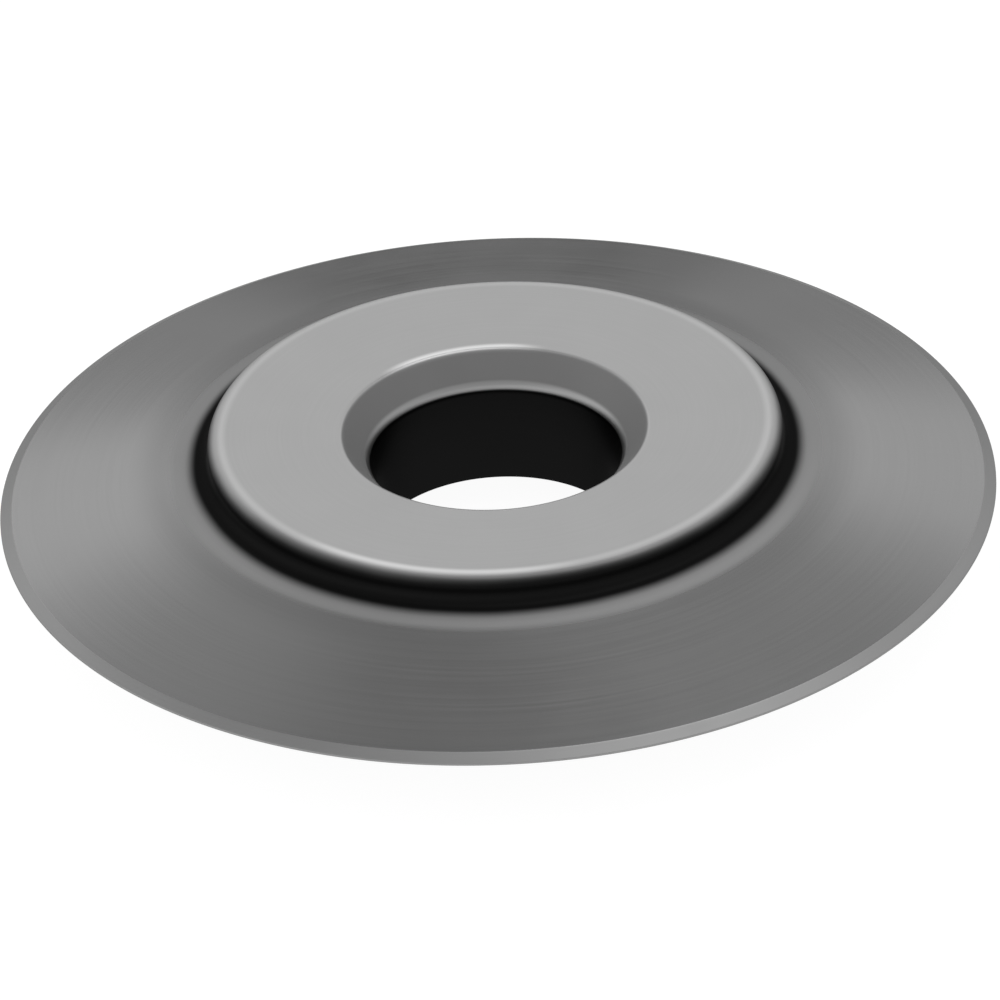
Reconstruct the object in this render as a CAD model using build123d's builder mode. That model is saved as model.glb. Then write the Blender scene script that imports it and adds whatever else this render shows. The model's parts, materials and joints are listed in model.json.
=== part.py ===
from build123d import *
from math import radians, tan
import os

# Pipe cutter wheel: one piece of hardened steel, turned, bored, countersunk and ground.
# The hub stands proud of the blade on both sides, and the blade tapers from the hub to the cutting edge.
# The origin is the middle of the bore, in the plane of the cutting edge, and the wheel turns about Z.
# Lengths are in millimetres and angles in degrees.

# Blade
cutting_diameter = 19.05  # across the cutting edge, 3/4 in
edge_land = 0.04  # honed land left on the cutting edge
edge_bevel_length = 0.22  # radial reach of the steeper bevel behind the edge
edge_bevel_angle = 30.0  # slope of that bevel away from the cutting plane

# Hub
hub_diameter = 11.0
hub_width = 3.175  # from face to face, 1/8 in
hub_step = 0.45  # height of a hub face over the thickest part of the blade
hub_edge_radius = 0.20  # rounding of the rim of each hub face
root_fillet = 0.25  # hollow blend from the hub's side into the blade's flank

# Bore
pin_diameter = 4.7625  # the axle pin that the wheel turns on, 3/16 in
pin_clearance = 0.02  # running clearance on the radius
countersink_width = 0.52  # radial width of the upper countersink at the hub face
countersink_angle = 82.0  # included angle of the upper countersink
lead_in_angle = 118.0  # included angle of the wide lead-in below, as deep as the countersink above

# Sizes that follow
cutting_radius = cutting_diameter / 2
hub_radius = hub_diameter / 2
bore_radius = pin_diameter / 2 + pin_clearance
face_height = hub_width / 2
root_height = face_height - hub_step
bevel_start_radius = cutting_radius - edge_bevel_length
bevel_start_height = edge_land / 2 + edge_bevel_length * tan(radians(edge_bevel_angle))
mouth_depth = countersink_width / tan(radians(countersink_angle / 2))
lead_in_width = mouth_depth * tan(radians(lead_in_angle / 2))

# The flank falls away from the hub, so a blend no larger than the hub's side always fits on that side.
side_height = hub_step - hub_edge_radius
root_blend = min(root_fillet, side_height)

with BuildPart() as cutter_wheel:
    # The section above the cutting plane, mirrored below it and turned about the axis
    with BuildSketch(Plane.XZ) as section:
        with BuildLine():
            Polyline(
                (0, 0),
                (cutting_radius, 0),
                (cutting_radius, edge_land / 2),
                (bevel_start_radius, bevel_start_height),
                (hub_radius, root_height),
                (hub_radius, face_height),
                (0, face_height),
                close=True,
            )
        make_face()
        root_corner = section.vertices().sort_by_distance((hub_radius, root_height))[0]
        fillet(root_corner, radius=root_blend)
        rim_corner = section.vertices().sort_by_distance((hub_radius, face_height))[0]
        fillet(rim_corner, radius=hub_edge_radius)
        mirror(about=Plane.XZ)
    revolve(axis=Axis.Z)

    # One through bore: a countersink above, and a wider and shallower lead-in for the pin below
    hub_faces = cutter_wheel.faces().filter_by(Plane.XY).sort_by(Axis.Z)
    with Locations(hub_faces[-1]):
        CounterSinkHole(
            radius=bore_radius,
            counter_sink_radius=bore_radius + countersink_width,
            counter_sink_angle=countersink_angle,
        )
    with Locations(hub_faces[0]):
        CounterSinkHole(
            radius=bore_radius,
            counter_sink_radius=bore_radius + lead_in_width,
            counter_sink_angle=lead_in_angle,
        )

cutter_wheel.part.label = "cutter_wheel"

os.makedirs("parts", exist_ok=True)
export_step(cutter_wheel.part, "parts/cutter_wheel.step")
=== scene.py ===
import bpy
import bmesh
import json
import math
from mathutils import Matrix, Vector


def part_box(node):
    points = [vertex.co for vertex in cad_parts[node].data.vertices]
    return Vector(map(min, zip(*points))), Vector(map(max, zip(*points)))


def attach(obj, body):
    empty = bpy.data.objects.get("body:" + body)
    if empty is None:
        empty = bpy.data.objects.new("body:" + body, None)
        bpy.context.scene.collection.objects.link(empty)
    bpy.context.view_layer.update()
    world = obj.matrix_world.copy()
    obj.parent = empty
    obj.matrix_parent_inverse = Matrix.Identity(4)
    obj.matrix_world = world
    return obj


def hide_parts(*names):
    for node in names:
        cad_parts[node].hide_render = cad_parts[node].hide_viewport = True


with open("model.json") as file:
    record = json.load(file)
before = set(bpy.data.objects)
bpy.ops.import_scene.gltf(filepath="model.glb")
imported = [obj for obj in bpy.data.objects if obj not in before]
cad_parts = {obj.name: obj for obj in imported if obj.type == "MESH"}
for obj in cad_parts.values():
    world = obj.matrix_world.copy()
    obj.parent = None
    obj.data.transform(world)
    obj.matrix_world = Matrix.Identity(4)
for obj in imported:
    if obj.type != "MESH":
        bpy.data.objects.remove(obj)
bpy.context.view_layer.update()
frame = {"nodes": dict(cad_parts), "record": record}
print("frame loaded:", ", ".join(sorted(frame["nodes"])))

mm = 0.001

# Sizes that the CAD part gives
low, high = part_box("cutter_wheel")
boreMount = next(mount for mount in frame["record"]["mounts"] if mount["name"] == "bore")
cuttingRadius = high[0]
faceHeight = high[2]
boreRadius = boreMount["dims"]["r_mm"] * mm
boreWallHeight = boreMount["dims"]["length_mm"] / 2 * mm


# Shader values that work in plain expressions
class Signal:
    def __init__(self, tree, socket=None):
        self.tree = tree
        self.socket = socket

    # any node: its type, its settings, what its inputs hold or take, and the output wanted
    # (a setting called stops holds the places and tones of a colour ramp)
    def node(self, kind, settings=None, inputs=None, output=0):
        made = self.tree.nodes.new(kind)
        for name, setting in (settings or {}).items():
            if name == "stops":
                ramp = made.color_ramp
                ramp.elements.remove(ramp.elements[1])
                for index, (place, tone) in enumerate(setting):
                    stop = ramp.elements.new(place) if index else ramp.elements[0]
                    stop.position = place
                    stop.color = (tone, tone, tone, 1)
            else:
                setattr(made, name, setting)
        for name, value in (inputs or {}).items():
            if isinstance(value, Signal):
                self.tree.links.new(value.socket, made.inputs[name])
            else:
                made.inputs[name].default_value = value
        return Signal(self.tree, made.outputs[output] if made.outputs else None)

    def calc(self, operation, *terms):
        return self.node("ShaderNodeMath", {"operation": operation}, dict(enumerate(terms)))

    def __add__(self, other):
        return self.calc("ADD", self, other)

    def __sub__(self, other):
        return self.calc("SUBTRACT", self, other)

    def __rsub__(self, other):
        return self.calc("SUBTRACT", other, self)

    def __mul__(self, other):
        return self.calc("MULTIPLY", self, other)

    __radd__ = __add__

    def __abs__(self):
        return self.calc("ABSOLUTE", self)

    # 0 below the edge and 1 above it, with a soft step between
    def above(self, edge, feather):
        steps = {"From Min": edge - feather / 2, "From Max": edge + feather / 2}
        settings = {"interpolation_type": "SMOOTHSTEP"}
        return self.node("ShaderNodeMapRange", settings, {"Value": self, **steps})

    # 1 at a value and 0 a width away from it, with a soft slope between
    def near(self, centre, width):
        return 1 - abs(self - centre).above(width / 2, width)

    # the first colour where this is 0 and the second where it is 1
    def blend(self, first, second):
        factor, colourA, colourB, mixedColour = 0, 6, 7, 2
        sockets = {factor: self, colourA: first, colourB: second}
        return self.node("ShaderNodeMix", {"data_type": "RGBA"}, sockets, output=mixedColour)


def grey(tone):
    return (tone, tone, tone, 1)


def newMaterial(name):
    material = bpy.data.materials.new(name)
    material.use_nodes = True
    material.node_tree.nodes.clear()
    return material, Signal(material.node_tree)


# Camera: a long lens from the photograph's viewing angle
view = {
    "elevation": 31.74,  # degrees above the cutting plane
    "roll": 2.93,  # degrees that the picture is turned anticlockwise
    "distance": 764.3,  # mm from the wheel's middle
    "shiftRight": 0.035,  # mm from the wheel's middle to the line of sight
    "shiftUp": -0.020,
    "lens": 1440,
    "sensor": 36,
    "nearest": 50,  # mm, and nothing closer or further shows
    "furthest": 5000,
}


def makeCamera():
    lift = math.radians(view["elevation"])
    turn = math.radians(view["roll"])
    back = Vector((0, -math.cos(lift), math.sin(lift)))
    across = Vector((1, 0, 0))
    upright = Vector((0, math.sin(lift), math.cos(lift)))
    right = across * math.cos(turn) - upright * math.sin(turn)
    up = across * math.sin(turn) + upright * math.cos(turn)
    place = (back * view["distance"] + right * view["shiftRight"] + up * view["shiftUp"]) * mm
    camera = bpy.data.objects.new("camera", bpy.data.cameras.new("camera"))
    bpy.context.scene.collection.objects.link(camera)
    camera.matrix_world = Matrix.Translation(place) @ Matrix((right, up, back)).transposed().to_4x4()
    camera.data.sensor_width = view["sensor"]
    camera.data.lens = view["lens"]
    camera.data.clip_start = view["nearest"] * mm
    camera.data.clip_end = view["furthest"] * mm
    bpy.context.scene.camera = camera


makeCamera()
print("camera set")

# Wheel: the section's sizes in mm, as in the CAD part
wheel = {
    "hubRadius": 5.5,
    "hubStep": 0.45,  # hub face over the blade's root
    "hubEdge": 0.20,  # rounding of the hub's rim
    "rootBlend": 0.25,
    "bevelReach": 0.22,
    "bevelSlope": 30,  # degrees
    "edgeLand": 0.04,
    "countersinkReach": 0.52,
    "leadInReach": 0.9956,  # the wider and shallower mouth on the underside
    "mouthEdge": 0.15,  # how round the mouth's edge on the hub face is
    "countersinkFoot": 0.28,  # the same where the countersink meets the bore
    "leadInFoot": 0.04,  # and where the lead-in does
    "segments": 576,  # round the axis
    "ringStep": 1.0,  # longest step between rings on a straight run
    "arcStep": 6,  # degrees between rings on an arc
    "fewestSteps": 3,  # on the shortest arc
    "guard": 0.02,  # last short step before a corner, which keeps the shading flat
    "softRidge": 0.04,  # radius left where the bevel starts
    "fineRidge": 0.012,  # the same at the cutting edge's land
}


# The corners of one side's section: radius, height over the cutting plane and how round each one is
def sideCorners(mouthReach, mouthFoot):
    cut, face = cuttingRadius / mm, faceHeight / mm
    bore, wall = boreRadius / mm, boreWallHeight / mm
    land = wheel["edgeLand"] / 2
    bevelHeight = land + wheel["bevelReach"] * math.tan(math.radians(wheel["bevelSlope"]))
    return [
        (bore, wall, mouthFoot),
        (bore + mouthReach, face, wheel["mouthEdge"]),
        (wheel["hubRadius"], face, wheel["hubEdge"]),
        (wheel["hubRadius"], face - wheel["hubStep"], wheel["rootBlend"]),
        (cut - wheel["bevelReach"], bevelHeight, wheel["softRidge"]),
        (cut, land, wheel["fineRidge"]),
    ]


# An arc that rounds a corner, tangent to the runs on both sides
def roundCorner(before, corner, after, radius):
    toBefore = (before - corner).normalized()
    toAfter = (after - corner).normalized()
    halfAngle = toBefore.angle(toAfter) / 2
    centre = corner + (toBefore + toAfter).normalized() * (radius / math.sin(halfAngle))
    reach = radius / math.tan(halfAngle)
    start = corner + toBefore * reach - centre
    finish = corner + toAfter * reach - centre
    steps = max(wheel["fewestSteps"], round(math.degrees(start.angle(finish)) / wheel["arcStep"]))
    arc = []
    for step in range(steps + 1):
        share = step / steps
        arc.append(centre + start.lerp(finish, share).normalized() * radius)
    return arc


# A straight run with even steps, and a short one at each end, a quarter of the run at most
def straightRun(start, finish):
    length = (finish - start).length
    guard = min(wheel["guard"], length / 4)
    steps = max(1, math.ceil((length - 2 * guard) / wheel["ringStep"]))
    places = [guard + (length - 2 * guard) * step / steps for step in range(steps + 1)]
    return [start.lerp(finish, place / length) for place in places]


# The closed section, from the bore out over the top and back underneath
def sectionLoop():
    upper = sideCorners(wheel["countersinkReach"], wheel["countersinkFoot"])
    lower = sideCorners(wheel["leadInReach"], wheel["leadInFoot"])
    corners = upper + [(radius, -height, rounding) for radius, height, rounding in lower[::-1]]
    spots = [Vector((radius, height)) for radius, height, rounding in corners]
    roundings = [rounding for radius, height, rounding in corners]
    arcs = []
    for index, spot in enumerate(spots):
        following = spots[(index + 1) % len(spots)]
        arcs.append(roundCorner(spots[index - 1], spot, following, roundings[index]))
    loop = []
    for index, arc in enumerate(arcs):
        loop += arc + straightRun(arc[-1], arcs[(index + 1) % len(arcs)][0])
    return loop


def makeWheel(material):
    section = sectionLoop()
    segments = wheel["segments"]
    mesh = bmesh.new()
    rings = []
    for spot in section:
        ring = []
        for step in range(segments):
            angle = 2 * math.pi * step / segments
            place = (spot.x * math.cos(angle), spot.x * math.sin(angle), spot.y)
            ring.append(mesh.verts.new(Vector(place) * mm))
        rings.append(ring)
    # one strip of the map for each stretch of the section, unrolled round the axis
    along = [0]
    for spot, following in zip(section, section[1:] + section[:1]):
        along.append(along[-1] + (following - spot).length)
    bakeMap = mesh.loops.layers.uv.new("OFBake")
    for index in range(len(rings)):
        inner, outer = rings[index], rings[(index + 1) % len(rings)]
        for step in range(segments):
            after = (step + 1) % segments
            face = mesh.faces.new((inner[step], outer[step], outer[after], inner[after]))
            face.smooth = True
            spans = ((step, index), (step, index + 1), (step + 1, index + 1), (step + 1, index))
            for corner, (turn, row) in zip(face.loops, spans):
                corner[bakeMap].uv = (turn / segments, along[row] / along[-1])
    data = bpy.data.meshes.new("ground_wheel")
    mesh.to_mesh(data)
    mesh.free()
    data.materials.append(material)
    piece = bpy.data.objects.new("ground_wheel", data)
    bpy.context.scene.collection.objects.link(piece)
    print("wheel made:", len(section), "rings of", segments)
    return piece


# Finish of the wheel, with painted highlights and painted shade set among it: tones are reflectances, radii
# and widths are in mm
steel = {
    "faceTone": 0.39,
    "flankTone": 0.26,
    "bevelTone": 0.275,
    "mouthTone": 0.24,
    # lighter than the countersink's tone: a painted highlight along the bore's edge
    "boreEdgeHighlightTone": 0.28,
    "oxideTone": 0.009,
    "grazingTint": 0.5,  # how much of the light a shallow look keeps
    "faceRoughness": 0.32,
    "flankRoughness": 0.16,
    "rootRoughness": 0.50,
    "coarseRoughness": 0.23,
    "bevelRoughness": 0.42,
    "mouthRoughness": 0.70,
    "boreEdgeRoughness": 0.35,
    "boreOxideReach": 0.014,  # how far past the bore's radius its oxide comes up
    "boreOxideFade": 0.016,
    "boreEdgeReach": 0.10,  # and how far the smooth edge above it reaches
    "boreEdgeFade": 0.06,
    "mouthFade": 0.06,  # how softly the finish changes at the mouth, the face's rim and the bevel
    "hubEdgeFade": 0.12,
    "bevelFade": 0.03,
    "mouthsApart": 1,  # height over which one mouth's size gives way to the other's
    "oxideStarts": 5.38,  # radius on the rim's rounding where the dark oxide begins
    "oxideStartFade": 0.22,
    "oxideEnds": 5.85,  # radius inside which the flank keeps it
    "oxideEndFade": 0.24,
    "rootEnds": 6.20,  # radius of the matt ring's outer side, where the grinding begins
    "rootFade": 0.24,
    "coarseEnds": 6.75,  # radius where that grinding has become fine
    "coarseFade": 0.8,
    "hubFootDarkening": 0.13,  # how much darker the tone is over that band by the hub's foot
    "rootHighlightRing": 6.08,  # radius where a painted highlight makes the matt ring lightest
    "rootHighlightWidth": 0.22,
    "rootHighlightGain": 0.18,  # how much lighter the painted highlight makes it there, most on the near side
    "mouthHighlightRing": 0.07,  # painted highlight on the mouth's edge: how far out, how wide and how much lighter
    "mouthHighlightWidth": 0.14,
    "mouthHighlightPeak": 0.95,
    "mouthHighlightSide": 102,  # degrees round the wheel, where it lies
    "rimHighlightRing": 0.13,  # painted highlight ring along the face's rim: how far in, how wide and how much lighter
    "rimHighlightWidth": 0.14,
    "rimHighlightBase": 0.20,
    "rimHighlightSide": 255,  # degrees again, where the painted highlight is stronger, and how much stronger
    "rimHighlightExtra": 0.42,
    "highlightReach": 0.90,  # cosine of half the angle that the stronger side of a painted highlight takes up, and its fade
    "highlightFade": 0.14,
    "rimShadeLean": 0.14,  # how much further out the rim's painted highlight and the oxide's start lie on the far side, so that the dark oxide covers more of the rim's rounding on the near side, as painted shade there
    "sideFade": 2.4,  # how softly the near side, -1, turns into the far one, 1
    "markSpacing": 0.045,
    "markReach": 1.2,  # a larger number makes shorter marks
    "markDetail": 2,
    "markFineness": 0.6,
    "markDepth": 0.00035,
    "markContrast": 0.10,
    "markRoughness": 0.08,
    "cloudScale": 0.7,  # slow unevenness of the finish
    "cloudDetail": 2,
    "cloudRoughness": 0.06,
    "cloudWobble": 0.03,  # how far it bends the edges of the oxide
}
noiseMiddle = 0.5


# 1 on the side of the wheel that lies towards an azimuth, in degrees from +X towards +Y, where a painted
# highlight is stronger
def highlightSide(spin, azimuth):
    turn = math.radians(azimuth)
    towards = {0: spin, 1: (math.cos(turn), math.sin(turn), 0)}
    facing = spin.node("ShaderNodeVectorMath", {"operation": "DOT_PRODUCT"}, towards, output="Value")
    return facing.above(steel["highlightReach"], steel["highlightFade"])


def groundSteel():
    material, bench = newMaterial("ground_steel")
    bore = boreRadius / mm
    faceRim = wheel["hubRadius"] - wheel["hubEdge"]
    bevelStart = cuttingRadius / mm - wheel["bevelReach"]

    # where a point is: its radius, height and direction from the axis, in mm
    place = bench.node("ShaderNodeTexCoord", output="Object")
    place = bench.node("ShaderNodeVectorMath", {"operation": "SCALE"}, {0: place, "Scale": 1 / mm})
    flat = bench.node("ShaderNodeVectorMath", {"operation": "MULTIPLY"}, {0: place, 1: (1, 1, 0)})
    radius = bench.node("ShaderNodeVectorMath", {"operation": "LENGTH"}, {0: flat}, output="Value")
    height = bench.node("ShaderNodeSeparateXYZ", inputs={0: place}, output="Z")
    spin = bench.node("ShaderNodeVectorMath", {"operation": "NORMALIZE"}, {0: flat})
    farSide = bench.node("ShaderNodeSeparateXYZ", inputs={0: spin}, output="Y").above(0, steel["sideFade"])
    nearSide = 1 - farSide

    # long concentric marks: the pattern changes fast along the section and slowly round the wheel
    reach = steel["markReach"]
    turn = bench.node("ShaderNodeVectorMath", {"operation": "MULTIPLY"}, {0: spin, 1: (reach, reach, 0)})
    lift = bench.node("ShaderNodeCombineXYZ", inputs={"Z": (radius + height) * (1 / steel["markSpacing"])})
    arcs = bench.node("ShaderNodeVectorMath", {"operation": "ADD"}, {0: turn, 1: lift})
    marks = bench.node("ShaderNodeTexNoise", inputs={
        "Vector": arcs,
        "Scale": 1,
        "Detail": steel["markDetail"],
        "Roughness": steel["markFineness"],
    })
    cloud = bench.node("ShaderNodeTexNoise", inputs={
        "Vector": place,
        "Scale": steel["cloudScale"],
        "Detail": steel["cloudDetail"],
    })
    markSwing = marks - noiseMiddle
    cloudSwing = cloud - noiseMiddle

    # zones of finish and of painted highlight and shade, from the bore outwards: each is 1 where it holds
    # and 0 elsewhere
    rim = radius + cloudSwing * steel["cloudWobble"]
    # the oxide starts further in on the near side: painted shade on the rim's rounding there
    shadeLean = farSide * steel["rimShadeLean"]
    onTop = height.above(0, steel["mouthsApart"])
    mouthRim = bore + wheel["leadInReach"] + onTop * (wheel["countersinkReach"] - wheel["leadInReach"])
    inBore = 1 - radius.above(bore + steel["boreOxideReach"], steel["boreOxideFade"])
    onBoreEdge = 1 - radius.above(bore + steel["boreEdgeReach"], steel["boreEdgeFade"])
    outsideMouth = (radius - mouthRim).above(0, steel["mouthFade"])
    outsideFlat = radius.above(faceRim, steel["hubEdgeFade"])
    outsideFace = (rim - shadeLean).above(steel["oxideStarts"], steel["oxideStartFade"])
    outsideRoot = radius.above(steel["rootEnds"], steel["rootFade"])
    coarse = outsideRoot * (1 - radius.above(steel["coarseEnds"], steel["coarseFade"]))
    onBevel = radius.above(bevelStart, steel["bevelFade"])
    onFace = outsideMouth * (1 - outsideFace)
    oxide = inBore + outsideFace * (1 - rim.above(steel["oxideEnds"], steel["oxideEndFade"]))
    # painted highlight along the mouth's edge, strongest on the far side
    mouthHighlightRing = (radius - mouthRim).near(steel["mouthHighlightRing"], steel["mouthHighlightWidth"])
    # painted highlight just inside the face's rim, all round and most on the near side
    rimHighlightRing = (radius - shadeLean).near(faceRim - steel["rimHighlightRing"], steel["rimHighlightWidth"])
    # painted highlight on the matt ring, most on the near side
    rootHighlightRing = rim.near(steel["rootHighlightRing"], steel["rootHighlightWidth"])
    mouthHighlightStrength = highlightSide(spin, steel["mouthHighlightSide"]) * steel["mouthHighlightPeak"]
    rimHighlightStrength = highlightSide(spin, steel["rimHighlightSide"]) * steel["rimHighlightExtra"] + steel["rimHighlightBase"]

    tone = onFace.blend(grey(steel["flankTone"]), grey(steel["faceTone"]))
    tone = outsideMouth.blend(grey(steel["mouthTone"]), tone)
    # the bore's edge: smoother, and with a lighter tone that is a painted highlight
    tone = onBoreEdge.blend(tone, grey(steel["boreEdgeHighlightTone"]))
    tone = onBevel.blend(tone, grey(steel["bevelTone"]))
    marksAndPaintedLight = 1 + markSwing * steel["markContrast"]
    # on top of the grinding marks: painted highlights on the mouth's edge, the face's rim and the matt
    # ring, and a darker tone by the hub's foot
    marksAndPaintedLight = marksAndPaintedLight + mouthHighlightRing * mouthHighlightStrength + rimHighlightRing * rimHighlightStrength
    marksAndPaintedLight = marksAndPaintedLight + rootHighlightRing * nearSide * steel["rootHighlightGain"] - coarse * steel["hubFootDarkening"]
    tone = bench.node("ShaderNodeVectorMath", {"operation": "SCALE"}, {0: tone, "Scale": marksAndPaintedLight})
    tone = oxide.blend(tone, grey(steel["oxideTone"]))

    flank = steel["flankRoughness"]
    rough = flank + outsideMouth * (1 - outsideFlat) * (steel["faceRoughness"] - flank)
    rough = rough + (1 - outsideMouth) * (steel["mouthRoughness"] - flank)
    rough = rough + onBoreEdge * (steel["boreEdgeRoughness"] - steel["mouthRoughness"])
    rough = rough + outsideFlat * (1 - outsideRoot) * (steel["rootRoughness"] - flank)
    rough = rough + coarse * (steel["coarseRoughness"] - flank)
    rough = rough + onBevel * (steel["bevelRoughness"] - flank)
    rough = rough + markSwing * steel["markRoughness"] + cloudSwing * steel["cloudRoughness"]

    relief = bench.node("ShaderNodeBump", inputs={
        "Strength": 1,
        "Distance": steel["markDepth"] * mm,
        "Height": marks,
    })
    surface = bench.node("ShaderNodeBsdfPrincipled", inputs={
        "Base Color": tone,
        "Metallic": 1,
        "Roughness": rough,
        "Normal": relief,
        "Specular Tint": grey(steel["grazingTint"]),
    })
    bench.node("ShaderNodeOutputMaterial", inputs={"Surface": surface})
    return material


groundWheel = makeWheel(groundSteel())
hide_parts("cutter_wheel")
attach(groundWheel, "root")

# Floor: pale, and white to the camera and to reflections, with the wheel's own shadow on it
floorLook = {
    "radius": 0.6,  # m
    "segments": 96,
    "paint": 0.8,
    "glow": 0.93,  # light that the camera and reflections see in it
    "kept": 0.15,  # share of its lit colour, and so of its shadows, that shows on top
}


def makeFloor():
    material, bench = newMaterial("studio_floor")
    # 1 for what the camera and reflections see, and 0 for the light that the floor throws back
    fromCamera = bench.node("ShaderNodeLightPath", output="Is Camera Ray")
    rays = fromCamera.socket.node.outputs
    reflected = Signal(bench.tree, rays["Is Glossy Ray"])
    passed = Signal(bench.tree, rays["Is Transmission Ray"])
    seen = fromCamera + reflected + passed
    painted = bench.node("ShaderNodeBsdfDiffuse", inputs={"Color": grey(floorLook["paint"])})
    dimmed = bench.node("ShaderNodeBsdfDiffuse", inputs={"Color": grey(floorLook["kept"])})
    glow = bench.node("ShaderNodeEmission", inputs={"Color": grey(1), "Strength": floorLook["glow"]})
    lit = bench.node("ShaderNodeAddShader", inputs={0: dimmed, 1: glow})
    surface = bench.node("ShaderNodeMixShader", inputs={0: seen, 1: painted, 2: lit})
    bench.node("ShaderNodeOutputMaterial", inputs={"Surface": surface})
    mesh = bmesh.new()
    bmesh.ops.create_circle(mesh, cap_ends=True, radius=floorLook["radius"], segments=floorLook["segments"])
    data = bpy.data.meshes.new("floor")
    mesh.to_mesh(data)
    mesh.free()
    data.materials.append(material)
    floor = bpy.data.objects.new("floor", data)
    floor.location.z = low[2]
    bpy.context.scene.collection.objects.link(floor)


# Light: a studio tent with a bright belt at mid height, and a soft lamp high on one side
tent = {  # degrees above the horizon, and the light from there
    "horizon": (0, 0.80),
    "wallFoot": (1.2, 0.80),
    "gapFoot": (2.4, 0.32),
    "gap": (3.6, 0.20),
    "wall": (6, 1.14),
    "wallMiddle": (10, 0.82),
    "wallTop": (16, 0.98),
    "beltFoot": (21, 1.34),
    "beltTop": (33, 1.26),
    "overBelt": (38, 0.95),
    "shoulder": (44, 0.70),
    "roof": (54, 0.62),
    "seam": (60, 0.42),
    "crown": (68, 0.46),
    "top": (90, 0.78),
}
highLamp = {
    "elevation": 71,  # degrees
    "azimuth": 66,
    "halfWidth": 17,
    "softEdge": 20,
    "light": 1.60,
}
sideShare = -0.15  # the belt is a little brighter on the left


# A direction, with its azimuth measured from the back towards the right
def aim(elevation, azimuth):
    lift, turn = math.radians(elevation), math.radians(azimuth)
    return Vector((math.cos(lift) * math.sin(turn), math.cos(lift) * math.cos(turn), math.sin(lift)))


def makeTent():
    world = bpy.data.worlds.new("studio_tent")
    bpy.context.scene.world = world
    world.use_nodes = True
    world.node_tree.nodes.clear()
    bench = Signal(world.node_tree)
    place = bench.node("ShaderNodeTexCoord", output="Generated")
    height = bench.node("ShaderNodeSeparateXYZ", inputs={0: place}, output="Z")
    aside = bench.node("ShaderNodeSeparateXYZ", inputs={0: place}, output="X")
    stops = [(math.sin(math.radians(angle)), tone) for angle, tone in tent.values()]
    shell = bench.node("ShaderNodeValToRGB", {"stops": stops}, {"Fac": height})
    shell = bench.node("ShaderNodeBackground", inputs={"Color": shell, "Strength": 1 + aside * sideShare})
    towards = {0: place, 1: aim(highLamp["elevation"], highLamp["azimuth"])}
    facing = bench.node("ShaderNodeVectorMath", {"operation": "DOT_PRODUCT"}, towards, output="Value")
    degreesInRadian = math.degrees(1)
    away = facing.calc("ARCCOSINE", facing) * degreesInRadian
    lamp = (1 - away.above(highLamp["halfWidth"], highLamp["softEdge"])) * highLamp["light"]
    lamp = bench.node("ShaderNodeBackground", inputs={"Color": grey(1), "Strength": lamp})
    light = bench.node("ShaderNodeAddShader", inputs={0: shell, 1: lamp})
    bench.node("ShaderNodeOutputWorld", inputs={"Surface": light})


makeFloor()
makeTent()
bpy.context.scene.view_settings.view_transform = "Standard"
print("floor and light set")
